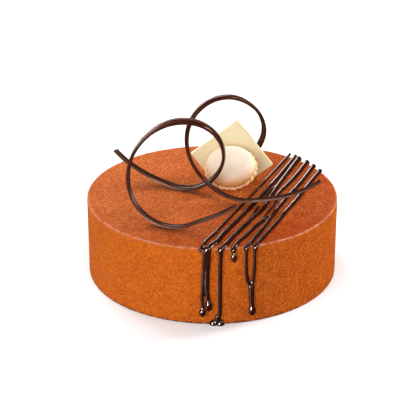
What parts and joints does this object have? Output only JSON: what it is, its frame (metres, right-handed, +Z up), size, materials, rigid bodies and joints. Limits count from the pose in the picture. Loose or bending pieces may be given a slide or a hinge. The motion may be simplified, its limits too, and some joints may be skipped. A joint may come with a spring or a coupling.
{
  "type": "tiramisu cake",
  "caption": "Round dessert cake in a velvety cocoa coat, with drizzled chocolate lines and drips, a white chocolate square, a macaron shell and chocolate curls.",
  "frame": {"origin": "centre of the cake's flat base", "axes": "+Z up, the drips run down the front, which faces -Y, +X to the right seen from the front"},
  "size_m": [0.2, 0.2031, 0.1415],
  "materials": {
    "cocoa_velvet": "fine velvety cocoa spray, matte",
    "white_chocolate": "smooth, satin",
    "macaron_shell": "baked shell, soft sheen",
    "dark_chocolate": "glossy, finely streaked"
  },
  "bodies": {
    "root": {"cake": "cocoa_velvet", "plaque": "white_chocolate", "macaron": "macaron_shell", "curl_left": "dark_chocolate", "curl_right": "dark_chocolate"}
  },
  "joints": []
}
